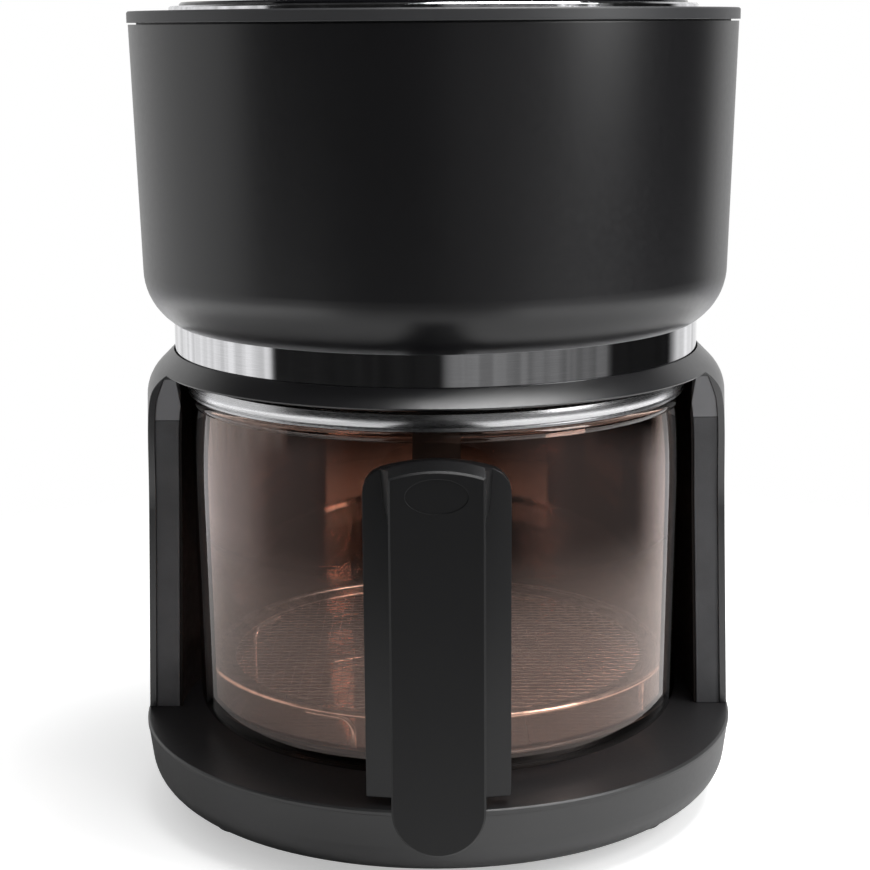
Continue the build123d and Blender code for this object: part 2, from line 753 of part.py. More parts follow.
# Heater coil: a flat spiral of half circles, whose two ends rise beside the dome
with BuildPart() as heater_coil:
    with BuildLine(Plane.XY.offset(COIL_Z)) as spiral:
        x = COIL_HALF_TURNS[0]
        heading = 1
        for radius in COIL_HALF_TURNS:
            RadiusArc((x, 0), (x - 2 * radius * heading, 0), -radius)
            x -= 2 * radius * heading
            heading = -heading
        inner_end = x
    with BuildSketch(Plane(origin=(COIL_HALF_TURNS[0], 0, COIL_Z), z_dir=(0, 1, 0))):
        Circle(COIL_ROD)
    sweep(path=spiral.wires()[0])
    outer_run = ((COIL_HALF_TURNS[0], COIL_Z), (TERMINAL_X, COIL_Z), (TERMINAL_X, TERMINAL_TOP))
    inner_run = (
        (inner_end, COIL_Z),
        (inner_end, CROSSING_Z),
        (-TERMINAL_X, CROSSING_Z),
        (-TERMINAL_X, TERMINAL_TOP),
    )
    for run in (outer_run, inner_run):
        for (x0, z0), (x1, z1) in zip(run, run[1:]):
            with Locations((x0, 0, z0)):
                Sphere(COIL_ROD)
            start, way = Vector(x0, 0, z0), Vector(x1 - x0, 0, z1 - z0)
            with BuildSketch(Plane(origin=start, z_dir=way)):
                Circle(COIL_ROD)
            extrude(amount=way.length)
save(heater_coil, "heater_coil")

hot_air_fan = fan(*HOT_FAN, FAN_SHEET, HOT_FAN_BLADES, FAN_SHEET)
save(hot_air_fan, "hot_air_fan")
cooling_fan = fan(*COOL_FAN, FAN_SHEET, COOL_FAN_BLADES, FAN_SHEET)
save(cooling_fan, "cooling_fan")

with BuildPart() as motor_shaft:
    with BuildSketch(Plane.XY.offset(SHAFT_Z[0])):
        Circle(SHAFT_RADIUS)
    extrude(amount=SHAFT_Z[1] - SHAFT_Z[0])
    chamfer(motor_shaft.edges().group_by(Axis.Z)[0], 0.8)
save(motor_shaft, "motor_shaft")

rotor_low, rotor_high = MOTOR_Z[0] + MOTOR_END + 1.9, MOTOR_Z[1] - MOTOR_END - 2.5
motor_rotor = tube(SHAFT_RADIUS + 0.02, ROTOR_RADIUS, rotor_low, rotor_high)
save(motor_rotor, "motor_rotor")

# Motor body: a can with a hollow for the rotor and a seat for a bearing at each end
motor_screw_spots = [spot(MOTOR_SCREW_CIRCLE, a) for a in (0, 120, 240)]
with BuildPart() as motor_body:
    with BuildSketch(Plane.XY.offset(MOTOR_Z[0])):
        Circle(MOTOR_RADIUS)
    extrude(amount=MOTOR_Z[1] - MOTOR_Z[0])
    chamfer(motor_body.edges().group_by(Axis.Z)[-1], 1.5)
    with BuildSketch(Plane.XY.offset(MOTOR_Z[0])):
        Circle(BEARING_RADIUS + 0.02)
    extrude(amount=MOTOR_Z[1] - MOTOR_Z[0], mode=Mode.SUBTRACT)
    with BuildSketch(Plane.XY.offset(MOTOR_Z[0] + MOTOR_END)):
        Circle(ROTOR_RADIUS + 1)
    extrude(amount=MOTOR_Z[1] - MOTOR_Z[0] - 2 * MOTOR_END, mode=Mode.SUBTRACT)
    with BuildSketch(Plane.XY.offset(MOTOR_Z[0])):
        with Locations(*motor_screw_spots):
            Circle(1.6)
    extrude(amount=8, mode=Mode.SUBTRACT)
save(motor_body, "motor_body")

with BuildPart() as motor_bearings:
    for low in (MOTOR_Z[0], MOTOR_Z[1] - MOTOR_END):
        with BuildSketch(Plane.XY.offset(low)):
            Circle(BEARING_RADIUS)
            Circle(SHAFT_RADIUS + SHAFT_FIT, mode=Mode.SUBTRACT)
        extrude(amount=MOTOR_END)
save(motor_bearings, "motor_bearings")

# Motor bracket: a plate on three legs that stand on the insulation
leg_spots = [spot(BRACKET_LEG_CIRCLE, a) for a in BRACKET_LEG_AZIMUTHS]
board_posts = [
    (POWER_BOARD_X + sx * (POWER_BOARD[0] / 2 - 4), sy * (POWER_BOARD[1] / 2 - 4)) for sx in (-1, 1) for sy in (-1, 1)
]
with BuildPart() as motor_bracket:
    with BuildSketch(Plane.XY.offset(BRACKET_Z[0])):
        Circle(BRACKET_RADIUS)
        Circle(BEARING_RADIUS + 2, mode=Mode.SUBTRACT)
        with Locations(*motor_screw_spots):
            Circle(1.7, mode=Mode.SUBTRACT)
    extrude(amount=BRACKET_Z[1] - BRACKET_Z[0])
    with BuildSketch(Plane.XY.offset(INSULATION_TOP + GAP)):
        with Locations(*leg_spots):
            Circle(4)
    extrude(amount=BRACKET_Z[0] - INSULATION_TOP - GAP)
    with BuildSketch(Plane.XY.offset(BRACKET_Z[1])):
        with Locations(*board_posts):
            Circle(2.5)
    extrude(amount=POWER_BOARD_Z - BRACKET_Z[1])
save(motor_bracket, "motor_bracket")

motor_screws = screws(motor_screw_spots, 3, (BRACKET_Z[0] - 1.8, BRACKET_Z[0]), 1.55, (BRACKET_Z[0], MOTOR_Z[0] + 7))
save(motor_screws, "motor_screws")

# Power board on the bracket, with its relay and capacitors
with BuildPart() as power_board:
    with BuildSketch(Plane.XY.offset(POWER_BOARD_Z + GAP)):
        with Locations((POWER_BOARD_X, 0)):
            Rectangle(POWER_BOARD[0], POWER_BOARD[1])
    extrude(amount=POWER_BOARD[2])
    with BuildSketch(Plane.XY.offset(POWER_BOARD_Z + GAP + POWER_BOARD[2])):
        with Locations((POWER_BOARD_X + 2, -12)):
            Rectangle(28, 16)
        with Locations((POWER_BOARD_X - 8, 14), (POWER_BOARD_X + 8, 14)):
            Circle(5.5)
    extrude(amount=POWER_PARTS_TALL)
save(power_board, "power_board")

with BuildPart() as temperature_probe:
    with BuildSketch(Plane.XY.offset(PROBE_LOW)):
        with Locations(probe_spot):
            Circle(PROBE_RADIUS)
    extrude(amount=INSULATION_TOP + 8 - PROBE_LOW)
    with BuildSketch(Plane.XY.offset(INSULATION_TOP + GAP)):
        with Locations(probe_spot):
            RegularPolygon(4, 6)
    extrude(amount=5)
save(temperature_probe, "temperature_probe")

with BuildPart() as thermal_fuse:
    fuse_spot = (FUSE_Y, INSULATION_TOP + FUSE_RADIUS + GAP)
    for half_length, radius in ((12, FUSE_RADIUS), (20, FUSE_LEAD)):
        with BuildSketch(Plane.YZ.offset(-half_length)):
            with Locations(fuse_spot):
                Circle(radius)
        extrude(amount=2 * half_length)
save(thermal_fuse, "thermal_fuse")

# Rear vent: a curved insert with level slots
with BuildPart() as rear_vent:
    with BuildSketch(upright_plane(180 - VENT_HALF_ANGLE)):
        with BuildLine():
            low, high = VENT_Z[0] + 0.4, VENT_Z[1] - 0.4
            Polyline((VENT_BACK, low), (VENT_FACE[0], low), (VENT_FACE[1], high), (VENT_BACK, high), close=True)
        make_face()
    revolve(axis=Axis.Z, revolution_arc=2 * VENT_HALF_ANGLE)
    with BuildSketch(Plane.XZ.offset(-SWITCH_FRONT)):
        with GridLocations(0, VENT_SLOT_PITCH, 1, VENT_SLOTS):
            with Locations((0, sum(VENT_Z) / 2)):
                SlotOverall(*VENT_SLOT)
    extrude(amount=-14, mode=Mode.SUBTRACT)
save(rear_vent, "rear_vent")

# Cord gland: a grommet that grips the wall of the head, with the bore for the cord
with BuildPart() as cord_gland:
    with BuildSketch(Plane.YZ):
        with BuildLine():
            barrel, collar = GLAND_Z + GLAND_BARREL, GLAND_Z + GLAND_BARREL + 2.5
            Polyline(
                (GLAND_REACH[0], GLAND_Z + CORD_BORE),
                (GLAND_REACH[0], barrel),
                (GLAND_GRIP[0], barrel),
                (GLAND_GRIP[0], collar),
                (GLAND_GRIP[1], collar),
                (GLAND_GRIP[1], barrel),
                (GLAND_GRIP[2], barrel),
                (GLAND_GRIP[2], collar + 0.5),
                (GLAND_GRIP[3], collar + 0.5),
                (GLAND_REACH[1], collar - 0.5),
                (GLAND_REACH[1], GLAND_Z + CORD_BORE),
                close=True,
            )
        make_face()
    revolve(axis=Axis((0, 0, GLAND_Z), (0, 1, 0)))
save(cord_gland, "cord_gland")

# Where the two handle screws run, through the glass
handle_bolts = [(0, z) for z in HANDLE_SCREW_ZS]

# Glass pot: near-straight wall, thick floor, rounded foot, a bead under the rim and two holes for the handle
with BuildPart() as glass_pot:
    with BuildSketch(Plane.XZ):
        with BuildLine():
            foot = CenterArc((POT_LOW_RADIUS - POT_ROUND, POT_BOTTOM + POT_ROUND), POT_ROUND, -90, 90)
            bead_low, bead_high = BEAD_Z - BEAD_HALF, BEAD_Z + BEAD_HALF
            Line(foot @ 1, (POT_TOP_RADIUS, bead_low))
            ThreePointArc(
                (POT_TOP_RADIUS, bead_low), (POT_TOP_RADIUS + BEAD_PROUD, BEAD_Z), (POT_TOP_RADIUS, bead_high)
            )
            low_inner = POT_LOW_RADIUS - POT_WALL + 0.1
            corner = CenterArc(
                (low_inner - POT_INNER_ROUND, POT_FLOOR + POT_INNER_ROUND), POT_INNER_ROUND, -90, 90
            )
            Polyline(
                (POT_TOP_RADIUS, bead_high),
                (POT_TOP_RADIUS, POT_RIM),
                (POT_TOP_RADIUS - POT_WALL, POT_RIM),
                corner @ 1,
            )
            Polyline(corner @ 0, (0, POT_FLOOR), (0, POT_BOTTOM), foot @ 0)
        make_face()
    revolve(axis=Axis.Z)
    with BuildSketch(Plane.XZ.offset(POT_LOW_RADIUS - 2 * POT_WALL)):
        with Locations(*handle_bolts):
            Circle(GLASS_HOLE)
    extrude(amount=3 * POT_WALL, mode=Mode.SUBTRACT)
save(glass_pot, "glass_pot")

# Steel rim ring: a channel over the top edge of the glass. Its outer wall bulges over a groove and a small lip
ring_inner = POT_TOP_RADIUS - POT_WALL - 1.0
channel_in, channel_out, channel_top = ring_inner + RING_WALL, RING_WAIST - 0.3, RING_TOP - RING_WALL
with BuildPart() as pot_rim_ring:
    with BuildSketch(Plane.XZ):
        with BuildLine():
            groove_low, groove_high = RING_LOW + RING_LIP, RING_LOW + RING_LIP + 0.5
            bulge = ThreePointArc(
                (RING_WAIST, groove_high), (RING_OUTER, RING_BULGE_Z), (RING_OUTER - 0.4, RING_TOP)
            )
            Polyline(
                bulge @ 0,
                (RING_WAIST, groove_low),
                (RING_OUTER - 0.1, groove_low),
                (RING_OUTER - 0.1, RING_LOW),
                (channel_out, RING_LOW),
                (channel_out, channel_top),
                (channel_in, channel_top),
                (channel_in, RING_LOW),
                (ring_inner, RING_LOW),
                (ring_inner, RING_TOP - 0.5),
                (ring_inner + 0.5, RING_TOP),
                bulge @ 1,
            )
        make_face()
    revolve(axis=Axis.Z)
save(pot_rim_ring, "pot_rim_ring")

with BuildPart() as rim_seal:
    with BuildSketch(Plane.XZ):
        with BuildLine():
            seal_in, seal_out = channel_in + 0.05, channel_out - 0.05
            glass_in, glass_out = POT_TOP_RADIUS - POT_WALL - 0.05, POT_TOP_RADIUS + 0.05
            seal_low, seal_top, glass_top = RING_LOW + 0.2, channel_top - 0.05, POT_RIM + 0.05
            Polyline(
                (seal_out, seal_low),
                (seal_out, seal_top),
                (seal_in, seal_top),
                (seal_in, seal_low),
                (glass_in, seal_low),
                (glass_in, glass_top),
                (glass_out, glass_top),
                (glass_out, seal_low),
                close=True,
            )
        make_face()
    revolve(axis=Axis.Z)
save(rim_seal, "rim_seal")

# Handle strap inside the glass: welded under the rim ring, with two blind sleeves that pass out through the glass
with BuildPart() as handle_strap:
    with BuildSketch(upright_plane(-STRAP_HALF_ANGLE)):
        with BuildLine():
            strap_high = RING_LOW - 0.05
            Polyline(
                (STRAP[0], STRAP_LOW),
                (STRAP[1], STRAP_LOW),
                (STRAP[1], strap_high),
                (STRAP[0], strap_high),
                close=True,
            )
        make_face()
    revolve(axis=Axis.Z, revolution_arc=2 * STRAP_HALF_ANGLE)
    with BuildSketch(Plane.XZ.offset(STRAP[0] + 0.25)):
        with Locations(*handle_bolts):
            Circle(SLEEVE_RADIUS)
    extrude(amount=SLEEVE_END - STRAP[0] - 0.25)
    with BuildSketch(Plane.XZ.offset(STRAP[1] + 1)):
        with Locations(*handle_bolts):
            Circle(SLEEVE_BORE)
    extrude(amount=10, mode=Mode.SUBTRACT)
save(handle_strap, "handle_strap")

with BuildPart() as glass_bushings:
    with BuildSketch(Plane.XZ.offset(STRAP[1] + 0.7)):
        with Locations(*handle_bolts):
            Circle(GLASS_HOLE - 0.05)
    extrude(amount=SADDLE[0] - 0.2 - STRAP[1] - 0.7)
    with BuildSketch(Plane.XZ.offset(POT_TOP_RADIUS)):
        with Locations(*handle_bolts):
            Circle(6)
    extrude(amount=SADDLE[0] - 0.2 - POT_TOP_RADIUS)
    with BuildSketch(Plane.XZ.offset(STRAP[1])):
        with Locations(*handle_bolts):
            Circle(SLEEVE_RADIUS + 0.05)
    extrude(amount=10, mode=Mode.SUBTRACT)
save(glass_bushings, "glass_bushings")

# Handle bracket outside the glass: a curved saddle with two blocks that carry the handle
with BuildPart() as handle_bracket:
    with BuildSketch(upright_plane(-SADDLE_HALF_ANGLE)):
        with BuildLine():
            Polyline(
                (SADDLE[0], SADDLE_Z[0]),
                (SADDLE[1], SADDLE_Z[0]),
                (SADDLE[1], SADDLE_Z[1]),
                (SADDLE[0], SADDLE_Z[1]),
                close=True,
            )
        make_face()
    revolve(axis=Axis.Z, revolution_arc=2 * SADDLE_HALF_ANGLE)
    with BuildSketch(Plane.XZ.offset(SADDLE[0] + 1)):
        with Locations(*handle_bolts):
            RectangleRounded(*HANDLE_BLOCK, 2)
    extrude(amount=PLATE_INNER - SADDLE[0] - 1.6)
    with BuildSketch(Plane.XZ.offset(SADDLE[0] - 1)):
        with Locations(*handle_bolts):
            Circle(SLEEVE_RADIUS + 0.1)
    extrude(amount=SLEEVE_END - SADDLE[0] + 1.1, mode=Mode.SUBTRACT)
    with BuildSketch(Plane.XZ.offset(SADDLE[0])):
        with Locations(*handle_bolts):
            Circle(SCREW_SHANK + GAP)
    extrude(amount=20, mode=Mode.SUBTRACT)
save(handle_bracket, "handle_bracket")

# Handle plate: the curved back of the handle, with an arched top
with BuildPart() as handle_plate:
    with BuildSketch(Plane.XZ):
        with BuildLine():
            shoulder_z = PLATE_TOP - PLATE_ARCH
            arch = ThreePointArc((-PLATE_HALF, shoulder_z), (0, PLATE_TOP), (PLATE_HALF, shoulder_z))
            Polyline(arch @ 0, (-PLATE_HALF, PLATE_LOW), (PLATE_HALF, PLATE_LOW), arch @ 1)
        outline = make_face()
        fillet(outline.vertices().group_by(Axis.Y)[-1], PLATE_CORNER)
        fillet(outline.vertices().group_by(Axis.Y)[0], 1)
    extrude(amount=PLATE_OUTER + 10)
    with BuildSketch(Plane.XY.offset(PLATE_LOW - 1)):
        Circle(PLATE_OUTER)
        Circle(PLATE_INNER, mode=Mode.SUBTRACT)
    extrude(amount=PLATE_TOP - PLATE_LOW + 2, mode=Mode.INTERSECT)
    with BuildSketch(Plane.XZ.offset(PLATE_INNER - 2)):
        with Locations(*handle_bolts):
            Circle(SCREW_SHANK + GAP)
    extrude(amount=10, mode=Mode.SUBTRACT)
    with BuildSketch(Plane.XZ.offset(PLATE_OUTER - 2.4)):
        with Locations(*handle_bolts):
            Circle(SCREW_HEAD + 0.3)
    extrude(amount=5, mode=Mode.SUBTRACT)
save(handle_plate, "handle_plate")

with BuildPart() as handle_screws:
    with BuildSketch(Plane.XZ.offset(PLATE_OUTER - 2.3)):
        with Locations(*handle_bolts):
            Circle(SCREW_HEAD)
    extrude(amount=2.0)
    with BuildSketch(Plane.XZ.offset(SADDLE[0] - 2)):
        with Locations(*handle_bolts):
            Circle(SCREW_SHANK)
    extrude(amount=PLATE_OUTER - 0.3 - SADDLE[0])
save(handle_screws, "handle_screws")

buffer_inner = POT_LOW_RADIUS + 0.3
handle_buffer = sector(buffer_inner, PLATE_INNER - GAP, *BUFFER_Z, -BUFFER_HALF_ANGLE, 2 * BUFFER_HALF_ANGLE)
save(handle_buffer, "handle_buffer")

# Handle grip: a slab that hangs in front, joined to the plate by a flared bridge at the top
bridge_sections = (
    (PLATE_OUTER - 3, 21.8, 21.2, 16.6, PLATE_TOP, 3.6),
    (136.0, 19.4, 19.0, 16.8, PLATE_TOP + 1.6, 3.3),
    (147.0, 18.0, 17.8, 17.1, PLATE_TOP + 3.4, 3.0),
    (GRIP_FRONT - GRIP_DEPTH + 1, 17.5, 17.4, 17.3, PLATE_TOP + 5.2, 2.8),
)
with BuildPart() as handle_grip:
    for reach, half_top, half_middle, half_low, crown, drop in bridge_sections:
        with BuildSketch(Plane.XZ.offset(reach)):
            with BuildLine():
                arch = ThreePointArc((-half_top, crown - drop), (0, crown), (half_top, crown - drop))
                ThreePointArc(arch @ 0, (-half_middle, BRIDGE_MIDDLE), (-half_low, BRIDGE_LOW))
                ThreePointArc(arch @ 1, (half_middle, BRIDGE_MIDDLE), (half_low, BRIDGE_LOW))
                Line((-half_low, BRIDGE_LOW), (half_low, BRIDGE_LOW))
            make_face()
    loft()
    with BuildSketch(Plane.XY.offset(BRIDGE_LOW - 2)):
        Circle(PLATE_OUTER + GAP)
    extrude(amount=50, mode=Mode.SUBTRACT)
    finger_middle = (PLATE_OUTER + GRIP_FRONT - GRIP_DEPTH) / 2
    with BuildSketch(Plane.YZ.offset(-40)):
        with Locations((-finger_middle, BRIDGE_LOW - 8)):
            Circle(17)
    extrude(amount=80, mode=Mode.SUBTRACT)
    with BuildSketch(Plane.XZ.offset(GRIP_FRONT - GRIP_DEPTH)):
        with BuildLine():
            arch = ThreePointArc((-GRIP_HALF, GRIP_TOP - 2.8), (0, GRIP_TOP), (GRIP_HALF, GRIP_TOP - 2.8))
            end = CenterArc((0, GRIP_LOW + GRIP_HALF), GRIP_HALF, 180, 180)
            Line(arch @ 0, end @ 0)
            Line(arch @ 1, end @ 1)
        make_face()
    extrude(amount=GRIP_DEPTH)
    chamfer(handle_grip.edges().group_by(Axis.Y)[0], 0.8)
    with BuildSketch(Plane.XZ.offset(GRIP_FRONT - DIMPLE_DEPTH)):
        with Locations((0, DIMPLE_Z)):
            Ellipse(*DIMPLE)
    extrude(amount=2, mode=Mode.SUBTRACT)
save(handle_grip, "handle_grip")

# Crisper rack: rolled rim with a sloping band, mesh disc and bent wire legs
with BuildPart() as rack_rim:
    with BuildSketch(Plane.XZ):
        with Locations((RACK_RIM_CENTRE, RACK_RIM_Z)):
            Circle(RACK_WIRE)
        with BuildLine():
            band_in, mesh_top = RACK_MESH_RADIUS - 3, RACK_MESH_LOW + RACK_MESH_THICK
            Polyline(
                (RACK_RIM_CENTRE, RACK_RIM_Z - 0.4),
                (RACK_RIM_CENTRE, RACK_RIM_Z + 0.4),
                (band_in, mesh_top + 0.9),
                (band_in, mesh_top + 0.1),
                close=True,
            )
        make_face()
    revolve(axis=Axis.Z)
save(rack_rim, "rack_rim")

mesh_steps = range(-9, 10)
mesh_holes = [
    (MESH_PITCH * i, MESH_PITCH * j)
    for i in mesh_steps
    for j in mesh_steps
    if hypot(i, j) * MESH_PITCH + MESH_GAP / 2 < RACK_MESH_RADIUS - 4
]
with BuildPart() as rack_mesh:
    with BuildSketch(Plane.XY.offset(RACK_MESH_LOW)):
        Circle(RACK_MESH_RADIUS)
        with Locations(*mesh_holes):
            Rectangle(MESH_GAP, MESH_GAP, mode=Mode.SUBTRACT)
    extrude(amount=RACK_MESH_THICK)
save(rack_mesh, "rack_mesh")

leg_top = RACK_MESH_LOW - LEG_WIRE - 0.05
leg_low = POT_FLOOR + 0.3
with BuildPart() as rack_legs:
    for azimuth in LEG_AZIMUTHS:
        face = tangent_plane(azimuth, LEG_CIRCLE - 4)
        with BuildLine(face) as leg_line:
            FilletPolyline((-11, leg_top), (11, leg_top), (11, leg_low), radius=LEG_BEND)
        with BuildSketch(Plane(origin=leg_line.line @ 0, z_dir=leg_line.line % 0)):
            Circle(LEG_WIRE)
        sweep(path=leg_line.wires()[0])
save(rack_legs, "rack_legs")
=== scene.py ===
from math import cos, pi, radians, sin, sqrt

import bpy
from mathutils import Matrix, Vector


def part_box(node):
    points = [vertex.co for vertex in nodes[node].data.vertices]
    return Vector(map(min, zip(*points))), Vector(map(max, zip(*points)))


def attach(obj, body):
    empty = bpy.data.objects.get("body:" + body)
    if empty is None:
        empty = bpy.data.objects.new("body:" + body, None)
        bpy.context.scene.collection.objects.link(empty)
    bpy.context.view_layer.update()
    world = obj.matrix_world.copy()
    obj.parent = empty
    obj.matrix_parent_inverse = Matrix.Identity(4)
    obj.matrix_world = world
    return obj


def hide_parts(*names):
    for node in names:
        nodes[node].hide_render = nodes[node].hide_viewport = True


# Dressing of the glass air fryer: finishes, the rack's woven wires, floor, room, lamps and camera.
# Metres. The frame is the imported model's: +Z up, the front faces -Y.

MM = 0.001

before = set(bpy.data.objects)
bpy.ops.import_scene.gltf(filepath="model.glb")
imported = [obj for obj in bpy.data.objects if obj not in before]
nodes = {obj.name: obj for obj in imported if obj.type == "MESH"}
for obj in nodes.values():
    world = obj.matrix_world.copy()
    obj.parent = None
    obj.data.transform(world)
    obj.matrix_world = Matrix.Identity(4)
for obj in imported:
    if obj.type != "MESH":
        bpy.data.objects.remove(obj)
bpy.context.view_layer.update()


def reach(node):
    """Largest radius of a node about the body's axis."""
    low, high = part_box(node)
    return max(high.x, -low.x)


# Camera: the photograph's, fitted to the circles of the body
IMAGE_SIDE = 870
FOCAL_PX = 1957.4
CENTRE_X_PX = 436.33
SENSOR_WIDTH_MM = 36.0
CAMERA_AT = (0.0, -0.8567, 0.34235)
CAMERA_DOWN = 11.882
CAMERA_ROLL = -0.393


def add_camera():
    data = bpy.data.cameras.new("camera")
    data.sensor_width = SENSOR_WIDTH_MM
    data.lens = FOCAL_PX / IMAGE_SIDE * SENSOR_WIDTH_MM
    data.shift_x = -(CENTRE_X_PX - IMAGE_SIDE / 2) / IMAGE_SIDE
    camera = bpy.data.objects.new("camera", data)
    bpy.context.scene.collection.objects.link(camera)
    pitch = Matrix.Rotation(radians(90 - CAMERA_DOWN), 4, "X")
    roll = Matrix.Rotation(radians(CAMERA_ROLL), 4, "Z")
    camera.matrix_world = Matrix.Translation(CAMERA_AT) @ pitch @ roll
    bpy.context.scene.camera = camera


add_camera()


# Node trees
MIX_FIRST, MIX_SECOND = 6, 7
MIX_RESULT = 2


class Graph:
    """A node tree, with short ways to add nodes and join them."""

    def __init__(self, tree):
        self.tree = tree

    def add(self, kind, **values):
        """Add a node. Each value goes to the node's property of that name, or else to its input."""
        node = self.tree.nodes.new(kind)
        for key, value in values.items():
            if hasattr(node, key):
                setattr(node, key, value)
            else:
                node.inputs[key.replace("_", " ")].default_value = value
        return node

    def link(self, out, to):
        self.tree.links.new(out, to)

    def feed(self, socket, value):
        """Join another node's output to the socket, or set it to a plain value."""
        if isinstance(value, bpy.types.NodeSocket):
            self.link(value, socket)
        else:
            socket.default_value = value

    def math(self, operation, *values):
        node = self.add("ShaderNodeMath", operation=operation)
        for socket, value in zip(node.inputs, values):
            self.feed(socket, value)
        return node.outputs["Value"]

    def remap(self, source, low, high, to_low=0.0, to_high=1.0, **values):
        """From to_low to to_high as the source goes from low to high, and level past them."""
        span = {"From_Min": low, "From_Max": high, "To_Min": to_low, "To_Max": to_high}
        node = self.add("ShaderNodeMapRange", **span, **values)
        self.link(source, node.inputs["Value"])
        return node.outputs["Result"]

    def ramp(self, source, stops):
        """Colour that runs through the stops, each a position and a colour."""
        node = self.add("ShaderNodeValToRGB")
        while len(node.color_ramp.elements) < len(stops):
            node.color_ramp.elements.new(0.5)
        for element, (at, colour) in zip(node.color_ramp.elements, stops):
            element.position = at
            element.color = (*colour, 1)
        self.link(source, node.inputs["Fac"])
        return node.outputs["Color"]

    def mix(self, share, first, second):
        """From the first colour to the second as the share goes from 0 to 1."""
        node = self.add("ShaderNodeMix", data_type="RGBA")
        self.link(share, node.inputs["Factor"])
        self.feed(node.inputs[MIX_FIRST], first)
        self.feed(node.inputs[MIX_SECOND], second)
        return node.outputs[MIX_RESULT]


# Materials
BEVEL_SAMPLES = 8
COLOUR_SPAN = (0.35, 0.65)
ROUGHNESS_SPAN = (0.3, 0.7)


class Paint(Graph):
    """One material, built up from a Principled shader."""

    def __init__(self, name, colour, roughness, metallic=0.0, **inputs):
        self.material = bpy.data.materials.new(name)
        self.material.use_nodes = True
        super().__init__(self.material.node_tree)
        self.shader = self.tree.nodes["Principled BSDF"]
        self.colour = colour
        self.roughness = roughness
        self.shader.inputs["Base Color"].default_value = (*colour, 1)
        self.shader.inputs["Roughness"].default_value = roughness
        self.shader.inputs["Metallic"].default_value = metallic
        for key, value in inputs.items():
            self.shader.inputs[key.replace("_", " ")].default_value = value
        self.place = self.add("ShaderNodeTexCoord").outputs["Object"]
        self.normal = None

    def noise(self, per_metre, stretch=(1, 1, 1), detail=3.0, rough=0.5):
        """Noise over the object's own place, with so many features per metre."""
        mapping = self.add("ShaderNodeMapping", Scale=stretch)
        self.link(self.place, mapping.inputs["Vector"])
        noise = self.add("ShaderNodeTexNoise", Scale=per_metre, Detail=detail, Roughness=rough)
        self.link(mapping.outputs["Vector"], noise.inputs["Vector"])
        return noise.outputs["Fac"]

    def vary_colour(self, source, dark, light):
        """Base colour runs from dark to light times the colour."""
        shades = [tuple(min(1, c * share) for c in self.colour) for share in (dark, light)]
        self.link(self.ramp(source, list(zip(COLOUR_SPAN, shades))), self.shader.inputs["Base Color"])

    def vary_roughness(self, source, spread):
        low, high = max(0, self.roughness - spread), min(1, self.roughness + spread)
        self.link(self.remap(source, *ROUGHNESS_SPAN, low, high), self.shader.inputs["Roughness"])

    def shape_with(self, node):
        """Let the node change the surface's normal, on top of any change before it."""
        if self.normal:
            self.link(self.normal, node.inputs["Normal"])
        self.normal = node.outputs["Normal"]
        self.link(self.normal, self.shader.inputs["Normal"])

    def bump(self, source, height, strength):
        """Surface relief of this height in metres."""
        node = self.add("ShaderNodeBump", Strength=strength, Distance=height)
        self.link(source, node.inputs["Height"])
        self.shape_with(node)

    def soften_edges(self, radius):
        """Shade sharp edges as if they had a small round."""
        self.shape_with(self.add("ShaderNodeBevel", samples=BEVEL_SAMPLES, Radius=radius))


def moulded(name, colour, roughness, grain=0.02 * MM, edge=0.5 * MM, specular=0.5):
    """Moulded plastic with a fine spark-eroded grain."""
    paint = Paint(name, colour, roughness, Specular_IOR_Level=specular)
    paint.vary_colour(paint.noise(per_metre=35, detail=4), dark=0.95, light=1.05)
    paint.vary_roughness(paint.noise(per_metre=420, detail=3), spread=0.015)
    paint.soften_edges(edge)
    paint.bump(paint.noise(per_metre=2600, detail=2), height=grain, strength=0.5)
    return paint.material


def capped_with_painted_shade(name, colour, painted_shade_colour, height, roughness):
    """Moulded plastic painted near-black from this height up, as painted shade where the part lies in
    shadow.
    """
    paint = Paint(name, colour, roughness)
    parts = paint.add("ShaderNodeSeparateXYZ")
    paint.link(paint.place, parts.inputs["Vector"])
    over = paint.math("GREATER_THAN", parts.outputs["Z"], height)
    paint.link(paint.mix(over, (*colour, 1), (*painted_shade_colour, 1)), paint.shader.inputs["Base Color"])
    paint.vary_roughness(paint.noise(per_metre=220), spread=0.03)
    paint.soften_edges(0.4 * MM)
    paint.bump(paint.noise(per_metre=2600, detail=2), height=0.015 * MM, strength=0.5)
    return paint.material


def leathery(name, colour, roughness, depth=0.05 * MM, specular=0.5):
    """Moulded plastic with a coarse grain of small cells."""
    paint = Paint(name, colour, roughness, Specular_IOR_Level=specular)
    cells = paint.add("ShaderNodeTexVoronoi", Scale=1300)
    paint.link(paint.place, cells.inputs["Vector"])
    paint.vary_colour(paint.noise(per_metre=60, detail=4), dark=0.9, light=1.1)
    paint.vary_roughness(paint.noise(per_metre=260), spread=0.05)
    paint.soften_edges(0.5 * MM)
    paint.bump(cells.outputs["Distance"], height=depth, strength=0.6)
    return paint.material


def turned(name, colour, roughness, depth=0.004 * MM):
    """Turned steel: fine lines round the axis."""
    paint = Paint(name, colour, roughness, metallic=1.0)
    lines = paint.noise(per_metre=90, stretch=(1, 1, 60), detail=4, rough=0.6)
    paint.vary_colour(lines, dark=0.94, light=1.04)
    paint.vary_roughness(lines, spread=0.02)
    paint.bump(lines, height=depth, strength=0.35)
    return paint.material


def plain_metal(name, colour, roughness, metallic=1.0):
    """Sheet or bar metal with a soft mottle."""
    paint = Paint(name, colour, roughness, metallic)
    spots = paint.noise(per_metre=180, detail=5)
    paint.vary_colour(spots, dark=0.88, light=1.08)
    paint.vary_roughness(spots, spread=0.05)
    paint.soften_edges(0.3 * MM)
    paint.bump(paint.noise(per_metre=900), height=0.01 * MM, strength=0.3)
    return paint.material


